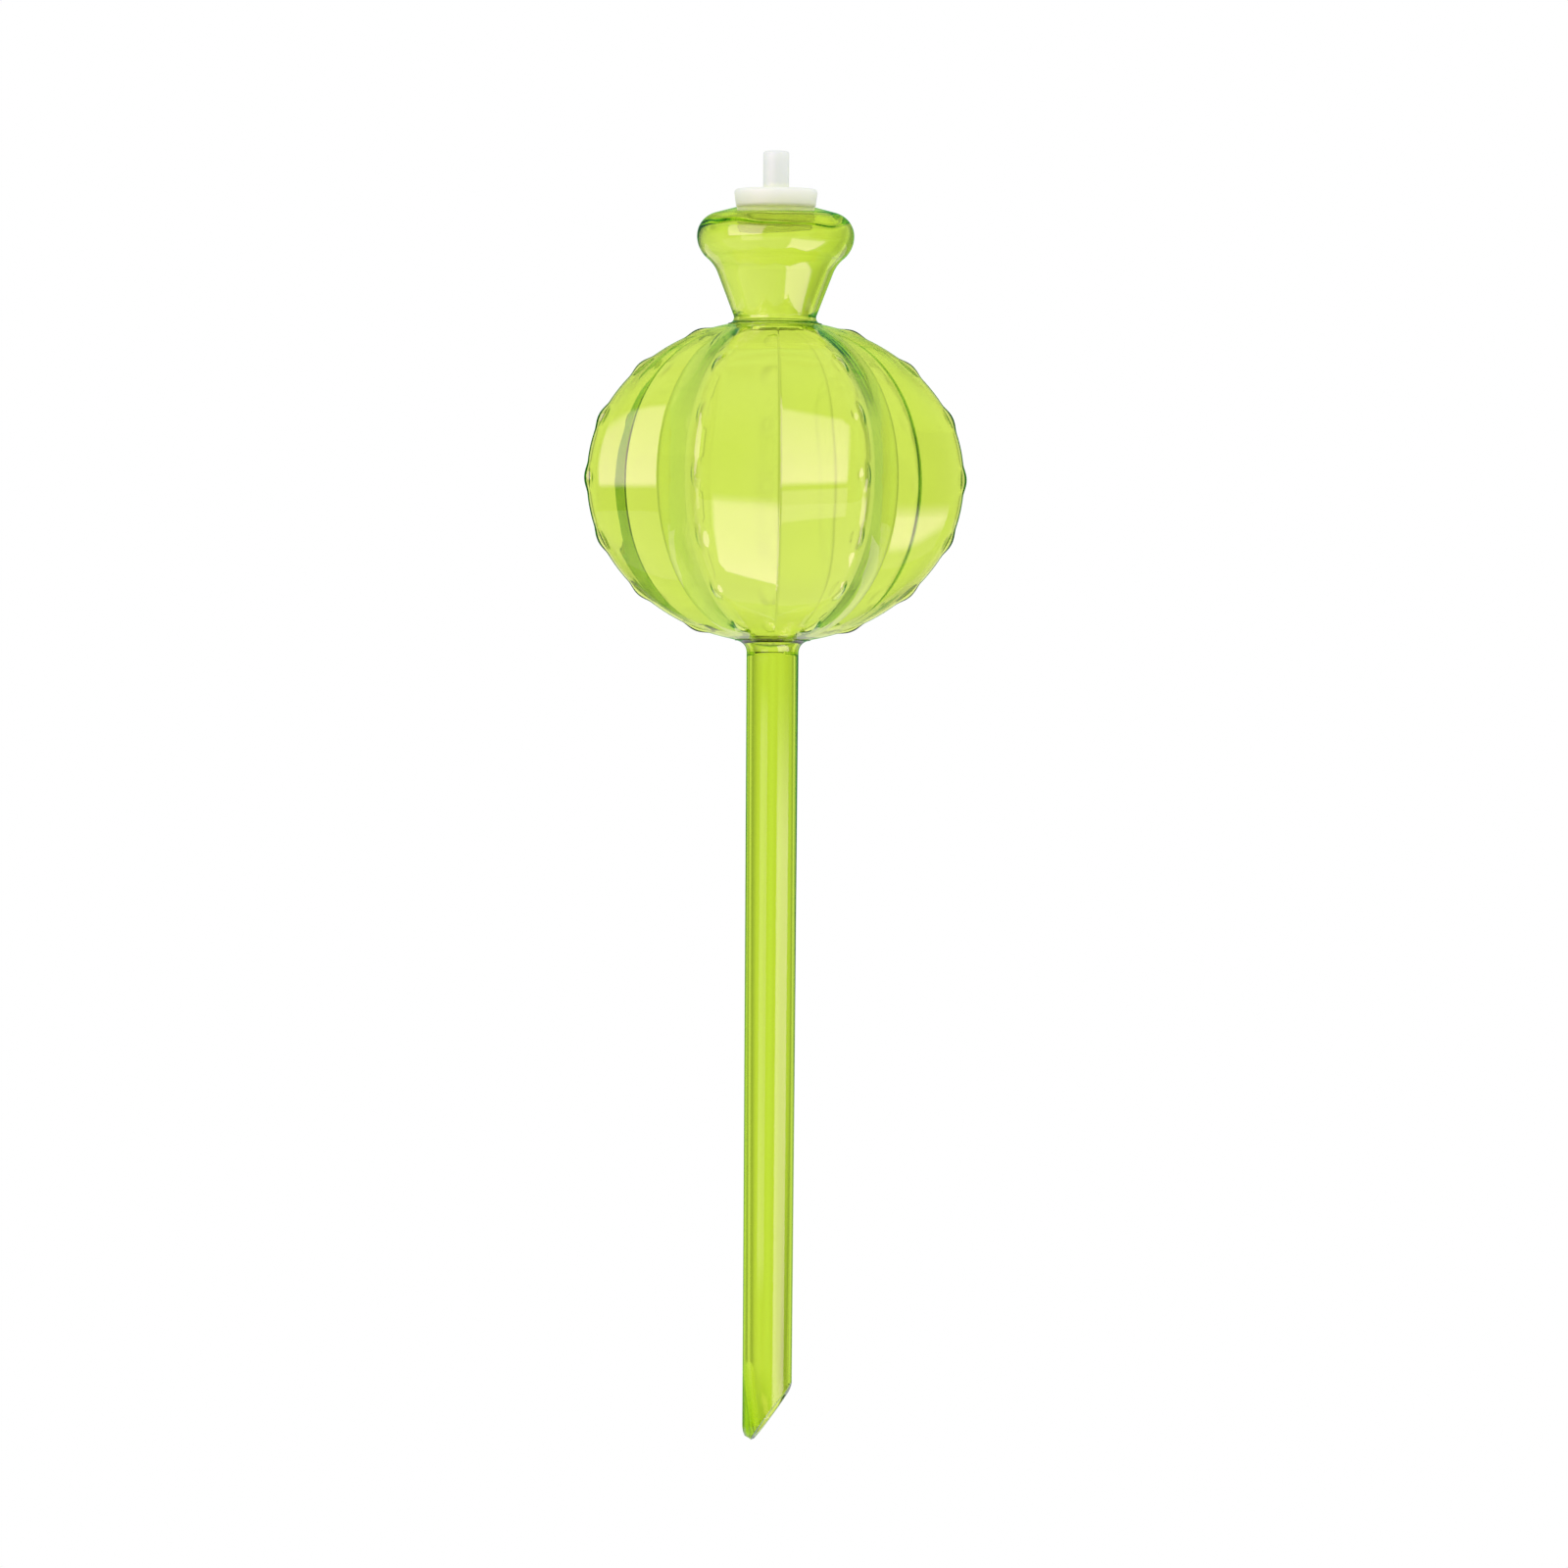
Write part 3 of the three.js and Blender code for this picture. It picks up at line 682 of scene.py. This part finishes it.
def stopper_profile():
    shank_radius = MOUTH_RADIUS - LIP_CLEARANCE - LIP_HEIGHT
    flange_radius = MOUTH_RADIUS + FLANGE_OVERLAP
    low = STOPPER_LOW.z
    top = STOPPER_HIGH.z
    seat = NECK_HIGH.z + STOPPER_SEAT_GAP
    flange_top = seat + FLANGE_THICKNESS
    lip_pitch = (seat - low - SHANK_CHAMFER) / LIP_COUNT
    lips = [seat - (lip + 0.5) * lip_pitch for lip in reversed(range(LIP_COUNT))]
    stem_foot = STEM_RADIUS + STEM_FILLET
    outline = [
        arc(shank_radius - SHANK_CHAMFER, low + SHANK_CHAMFER, SHANK_CHAMFER, -90, 0),
        *[arc(shank_radius, height, LIP_HEIGHT, -90, 90, LIP_WIDTH / 2) for height in lips],
        [[shank_radius, seat]],
        arc(flange_radius - FLANGE_TAPER - RIM_ROUND, seat + RIM_ROUND, RIM_ROUND, -90, 0),
        arc(flange_radius - FLANGE_ROUND, flange_top - FLANGE_ROUND, FLANGE_ROUND, 0, 90),
        arc(stem_foot, flange_top + STEM_FILLET, STEM_FILLET, 270, 180),
        arc(STEM_RADIUS - STEM_ROUND, top - STEM_ROUND, STEM_ROUND, 0, 90),
    ]
    return np.concatenate(outline)


# Materials

def new_material(name):
    material = bpy.data.materials.new(name)
    material.use_nodes = True
    tree = material.node_tree
    return material, tree, tree.nodes["Principled BSDF"], tree.nodes["Material Output"]


def noise(tree, scale, detail, stretch=1.0):
    """Noise in the piece's own coordinates, drawn out along Z by a factor"""
    coordinates = tree.nodes.new("ShaderNodeTexCoord")
    mapping = tree.nodes.new("ShaderNodeMapping")
    mapping.inputs["Scale"].default_value = (1, 1, 1 / stretch)
    texture = tree.nodes.new("ShaderNodeTexNoise")
    texture.inputs["Scale"].default_value = scale
    texture.inputs["Detail"].default_value = detail
    tree.links.new(coordinates.outputs["Object"], mapping.inputs["Vector"])
    tree.links.new(mapping.outputs["Vector"], texture.inputs["Vector"])
    return texture.outputs["Fac"]


def spread(tree, source, low, high):
    """The middle of a noise stretched from one value to another"""
    node = tree.nodes.new("ShaderNodeMapRange")
    node.inputs["From Min"].default_value = NOISE_LOW
    node.inputs["From Max"].default_value = NOISE_HIGH
    node.inputs["To Min"].default_value = low
    node.inputs["To Max"].default_value = high
    tree.links.new(source, node.inputs["Value"])
    return node.outputs["Result"]


def blended(tree, source, first, second):
    """A colour between two, by a noise"""
    node = tree.nodes.new("ShaderNodeValToRGB")
    node.color_ramp.elements[0].position = NOISE_LOW
    node.color_ramp.elements[0].color = (*first, 1)
    node.color_ramp.elements[1].position = NOISE_HIGH
    node.color_ramp.elements[1].color = (*second, 1)
    tree.links.new(source, node.inputs["Fac"])
    return node.outputs["Color"]


def by_height(tree, low, high):
    """0 below a height of the piece's own and 1 above another"""
    coordinates = tree.nodes.new("ShaderNodeTexCoord")
    axes = tree.nodes.new("ShaderNodeSeparateXYZ")
    node = tree.nodes.new("ShaderNodeMapRange")
    node.inputs["From Min"].default_value = low
    node.inputs["From Max"].default_value = high
    tree.links.new(coordinates.outputs["Object"], axes.inputs["Vector"])
    tree.links.new(axes.outputs["Z"], node.inputs["Value"])
    return node.outputs["Result"]


def mixed(tree, factor, first, second):
    """The first colour where the factor is 0, and the second where it is 1"""
    node = tree.nodes.new("ShaderNodeMix")
    node.data_type = "RGBA"
    for name, source in (("Factor_Float", factor), ("A_Color", first), ("B_Color", second)):
        socket = next(socket for socket in node.inputs if socket.identifier == name)
        tree.links.new(source, socket)
    return next(socket for socket in node.outputs if socket.identifier == "Result_Color")


def chosen(tree, factor, first, second):
    """The first number where the factor is 0, and the second where it is 1"""
    node = tree.nodes.new("ShaderNodeMix")
    for socket, value in zip(node.inputs, (factor, None, first, second)):
        if isinstance(value, (int, float)):
            socket.default_value = value
        elif value:
            tree.links.new(value, socket)
    return node.outputs["Result"]


def bump(tree, source, depth, base=None):
    node = tree.nodes.new("ShaderNodeBump")
    node.inputs["Strength"].default_value = 1
    node.inputs["Distance"].default_value = depth
    tree.links.new(source, node.inputs["Height"])
    if base:
        tree.links.new(base, node.inputs["Normal"])
    return node.outputs["Normal"]


def clear_green(name, density, stretch, has_cut=False):
    """Tinted clear plastic with flow marks drawn out along Z, dull where it is cut off"""
    material, tree, shader, output = new_material(name)
    flow = noise(tree, FLOW_SCALE, FLOW_DETAIL, stretch)
    grain = noise(tree, GRAIN_SCALE, GRAIN_DETAIL, stretch)
    tint = blended(tree, flow, PLASTIC_DEEP, PLASTIC_PALE)
    tree.links.new(tint, shader.inputs["Base Color"])
    roughness = spread(tree, grain, *PLASTIC_ROUGHNESS)
    if has_cut:
        above_cut = by_height(tree, STAKE_LOW.z + CUT_DULL_LOW, STAKE_LOW.z + CUT_DULL_HIGH)
        roughness = chosen(tree, above_cut, CUT_ROUGHNESS, roughness)
    tree.links.new(roughness, shader.inputs["Roughness"])
    waves = bump(tree, flow, FLOW_DEPTH)
    tree.links.new(bump(tree, grain, GRAIN_DEPTH, waves), shader.inputs["Normal"])
    shader.inputs["IOR"].default_value = PLASTIC_IOR
    shader.inputs["Transmission Weight"].default_value = 1
    absorption = tree.nodes.new("ShaderNodeVolumeAbsorption")
    absorption.inputs["Color"].default_value = (*PLASTIC_TINT, 1)
    absorption.inputs["Density"].default_value = density
    tree.links.new(absorption.outputs["Volume"], output.inputs["Volume"])
    return material


def white_silicone():
    material, tree, shader, _ = new_material("white_silicone")
    cloud = noise(tree, CLOUD_SCALE, CLOUD_DETAIL)
    grain = noise(tree, MATT_SCALE, MATT_DETAIL)
    # Painted light: the shank and disc get yellow-green for light from the green plastic, and the
    # stem gets a darker grey as painted shade
    shank = blended(tree, cloud, *SHANK_PAINTED_GREEN_LIGHT)
    disc_green_light = blended(tree, cloud, *DISC_PAINTED_GREEN_LIGHT)
    stem = blended(tree, cloud, *STEM_PAINTED_SHADE)
    above_shank = by_height(tree, SHANK_TOP_LOW, SHANK_TOP_HIGH)
    colour = mixed(tree, above_shank, shank, disc_green_light)
    colour = mixed(tree, by_height(tree, STEM_SHADE_LOW, STEM_SHADE_HIGH), colour, stem)
    tree.links.new(colour, shader.inputs["Base Color"])
    tree.links.new(spread(tree, grain, *SILICONE_ROUGHNESS), shader.inputs["Roughness"])
    tree.links.new(bump(tree, grain, MATT_DEPTH), shader.inputs["Normal"])
    shader.inputs["IOR"].default_value = SILICONE_IOR
    tree.links.new(chosen(tree, above_shank, SHANK_COVER, 1), shader.inputs["Alpha"])
    shader.inputs["Subsurface Weight"].default_value = 1
    shader.inputs["Subsurface Radius"].default_value = SCATTER_RADIUS
    shader.inputs["Subsurface Scale"].default_value = SCATTER_DEPTH
    return material


# Stage: a pale floor, white surroundings, three soft panels, two flags and the camera

def lit_between(tree, source, low, high):
    """A value from low, where the source is 0, to high, where it is 1"""
    node = tree.nodes.new("ShaderNodeMapRange")
    node.inputs["To Min"].default_value = low
    node.inputs["To Max"].default_value = high
    tree.links.new(source, node.inputs["Value"])
    return node.outputs["Result"]


def calculated(tree, operation, *values):
    """Result of a Math node, whose inputs are sockets or numbers"""
    node = tree.nodes.new("ShaderNodeMath")
    node.operation = operation
    for socket, value in zip(node.inputs, values):
        if isinstance(value, (int, float)):
            socket.default_value = value
        else:
            tree.links.new(value, socket)
    return node.outputs["Value"]


def seen_directly(tree):
    """1 for rays from the camera or through clear plastic, and 0 for other light"""
    path = tree.nodes.new("ShaderNodeLightPath").outputs
    return calculated(tree, "MAXIMUM", path["Is Camera Ray"], path["Is Transmission Ray"])


def set_world():
    """White for the camera, white walls with grey gaps through clear plastic, green in its gloss"""
    world = bpy.data.worlds.new("studio")
    world.use_nodes = True
    bpy.context.scene.world = world
    tree = world.node_tree
    path = tree.nodes.new("ShaderNodeLightPath").outputs
    coordinates = tree.nodes.new("ShaderNodeTexCoord")
    axes = tree.nodes.new("ShaderNodeSeparateXYZ")
    tree.links.new(coordinates.outputs["Generated"], axes.inputs["Vector"])
    azimuth = calculated(tree, "ARCTAN2", axes.outputs["X"], axes.outputs["Y"])
    wave = calculated(tree, "COSINE", calculated(tree, "MULTIPLY", azimuth, WALL_COUNT))
    room = lit_between(tree, calculated(tree, "MULTIPLY_ADD", wave, 0.5, 0.5), GAP_LIGHT, 1)
    mirrored = calculated(tree, "SUBTRACT", path["Is Glossy Ray"], path["Is Transmission Ray"])
    mirrored = calculated(tree, "SUBTRACT", mirrored, path["Diffuse Depth"])
    through = calculated(tree, "MAXIMUM", path["Is Glossy Ray"], path["Is Transmission Ray"])
    through = calculated(tree, "SUBTRACT", through, path["Diffuse Depth"])
    strength = chosen(tree, through, AMBIENT_LIGHT, room)
    strength = chosen(tree, path["Is Camera Ray"], strength, 1)
    ramp = tree.nodes.new("ShaderNodeValToRGB")
    ramp.color_ramp.elements[0].color = (1, 1, 1, 1)
    ramp.color_ramp.elements[1].color = (*MIRRORED_COLOUR, 1)
    tree.links.new(calculated(tree, "MAXIMUM", mirrored, 0), ramp.inputs["Fac"])
    background = tree.nodes["Background"]
    tree.links.new(ramp.outputs["Color"], background.inputs["Color"])
    tree.links.new(strength, background.inputs["Strength"])


def add_floor():
    mesh = bpy.data.meshes.new("floor")
    side = FLOOR_SIDE / 2
    corners = [(-side, -side, 0), (side, -side, 0), (side, side, 0), (-side, side, 0)]
    mesh.from_pydata(corners, [], [(0, 1, 2, 3)])
    floor = bpy.data.objects.new("floor", mesh)
    floor.location.z = CAD_LOW.z - FLOOR_DROP
    bpy.context.scene.collection.objects.link(floor)
    material, tree, shader, _ = new_material("floor_white")
    cloud = noise(tree, FLOOR_CLOUD_SCALE, FLOOR_CLOUD_DETAIL)
    tree.links.new(blended(tree, cloud, *FLOOR_COLOURS), shader.inputs["Base Color"])
    shader.inputs["Roughness"].default_value = FLOOR_ROUGHNESS
    shader.inputs["Specular IOR Level"].default_value = 0
    shader.inputs["Emission Color"].default_value = (1, 1, 1, 1)
    glow = lit_between(tree, seen_directly(tree), 0, FLOOR_GLOW)
    tree.links.new(glow, shader.inputs["Emission Strength"])
    mesh.materials.append(material)


def add_flags(pieces):
    """Two flags beside the part, seen only in its gloss, which keep the panels off its back half"""
    points = np.concatenate([rows.reshape(-1, 3) for rows in pieces])
    levels = np.arange(CAD_LOW.z, CAD_HIGH.z + FLAG_STEP, FLAG_STEP)
    for name, side in (("left", -1), ("right", 1)):
        corners = []
        for level in levels:
            beside = points[np.abs(points[:, 2] - level) < FLAG_STEP]
            near = max(side * beside[:, 0]) + FLAG_GAP
            corners += [(side * x, -FLAG_FORWARD * near, level) for x in (near, FLAG_REACH)]
        faces = [(i, i + 1, i + 3, i + 2) for i in range(0, len(corners) - 2, 2)]
        mesh = bpy.data.meshes.new(f"flag_{name}")
        mesh.from_pydata(corners, [], faces)
        flag = bpy.data.objects.new(f"flag_{name}", mesh)
        flag.visible_camera = False
        flag.visible_diffuse = False
        flag.visible_transmission = False
        flag.visible_shadow = False
        bpy.context.scene.collection.objects.link(flag)
        material, _, shader, _ = new_material(f"flag_{name}")
        shader.inputs["Base Color"].default_value = (0, 0, 0, 1)
        shader.inputs["Specular IOR Level"].default_value = 0
        shader.inputs["Emission Color"].default_value = (*MIRRORED_COLOUR, 1)
        shader.inputs["Emission Strength"].default_value = 1
        mesh.materials.append(material)


def place(azimuth, distance, height):
    """A point by its azimuth in degrees, its distance from the axis and its height"""
    turn = math.radians(azimuth)
    return Vector((distance * math.sin(turn), -distance * math.cos(turn), height))


def soften(light, low_share, high_share):
    """Fades the edges of a panel, and its light from one end to the other"""
    light.use_nodes = True
    tree = light.node_tree
    coordinates = tree.nodes.new("ShaderNodeTexCoord")
    axes = tree.nodes.new("ShaderNodeSeparateXYZ")
    tree.links.new(coordinates.outputs["UV"], axes.inputs["Vector"])
    strength = lit_between(tree, axes.outputs["Y"], low_share, high_share)
    for name in "XY":
        edge = tree.nodes.new("ShaderNodeMapRange")
        edge.interpolation_type = "SMOOTHSTEP"
        edge.inputs["From Max"].default_value = PANEL_EDGE
        tree.links.new(calculated(tree, "PINGPONG", axes.outputs[name], 0.5), edge.inputs["Value"])
        strength = calculated(tree, "MULTIPLY", strength, edge.outputs["Result"])
    tree.links.new(strength, tree.nodes["Emission"].inputs["Strength"])


def add_panel(panel):
    """An area lamp between the middles of two edges, turned to the globe and seen only in gloss"""
    start = place(panel.azimuth, *panel.low_edge)
    end = place(panel.azimuth, *panel.high_edge)
    along = (end - start).normalized()
    centre = (start + end) / 2
    away = centre - Vector((0, 0, GLOBE_CENTRE))
    away = (away - along * away.dot(along)).normalized()
    light = bpy.data.lights.new(panel.name, "AREA")
    light.shape = "RECTANGLE"
    light.size = panel.width
    light.size_y = (end - start).length
    light.energy = panel.brightness * math.pi * light.size * light.size_y
    light.color = PANEL_COLOUR
    soften(light, *panel.shares)
    lamp = bpy.data.objects.new(panel.name, light)
    turn = Matrix((along.cross(away), along, away)).transposed()
    lamp.matrix_world = Matrix.Translation(centre) @ turn.to_4x4()
    lamp.visible_camera = False
    lamp.visible_diffuse = False
    lamp.visible_transmission = False
    bpy.context.scene.collection.objects.link(lamp)


def add_camera():
    data = bpy.data.cameras.new("camera")
    data.lens = data.sensor_width * CAMERA_DISTANCE / VIEW_WIDTH
    camera = bpy.data.objects.new("camera", data)
    camera.location = (CAMERA_X, -CAMERA_DISTANCE, CAMERA_Z)
    camera.rotation_euler = (math.pi / 2, CAMERA_ROLL, 0)
    bpy.context.scene.collection.objects.link(camera)
    bpy.context.scene.camera = camera


plastic = clear_green("clear_green_plastic", SHELL_DENSITY, stretch=1)
neck_plastic = clear_green("clear_green_neck", NECK_DENSITY, stretch=1)
tube_plastic = clear_green("clear_green_tube", TUBE_DENSITY, TUBE_STRETCH, has_cut=True)
silicone = white_silicone()

globe = globe_rows()
neck = neck_rows()
stake = stake_rows()
stopper = revolve(subdivided(stopper_profile()))
add_piece("globe_shell", globe, "ribbed_globe", "vessel", plastic)
add_piece("neck_shell", neck, "mouth_neck", "vessel", neck_plastic)
add_piece("stake_shell", stake, "stake_tube", "vessel", tube_plastic)
add_piece("stopper_moulding", stopper, "stopper", "stopper", silicone, True)

set_world()
add_floor()
add_flags([globe, neck, stake, stopper])
for panel in PANELS:
    add_panel(panel)
add_camera()

scene = bpy.context.scene
scene.view_settings.view_transform = "Standard"
scene.cycles.max_bounces = MOST_BOUNCES
scene.cycles.transmission_bounces = CLEAR_BOUNCES
scene.cycles.glossy_bounces = CLEAR_BOUNCES
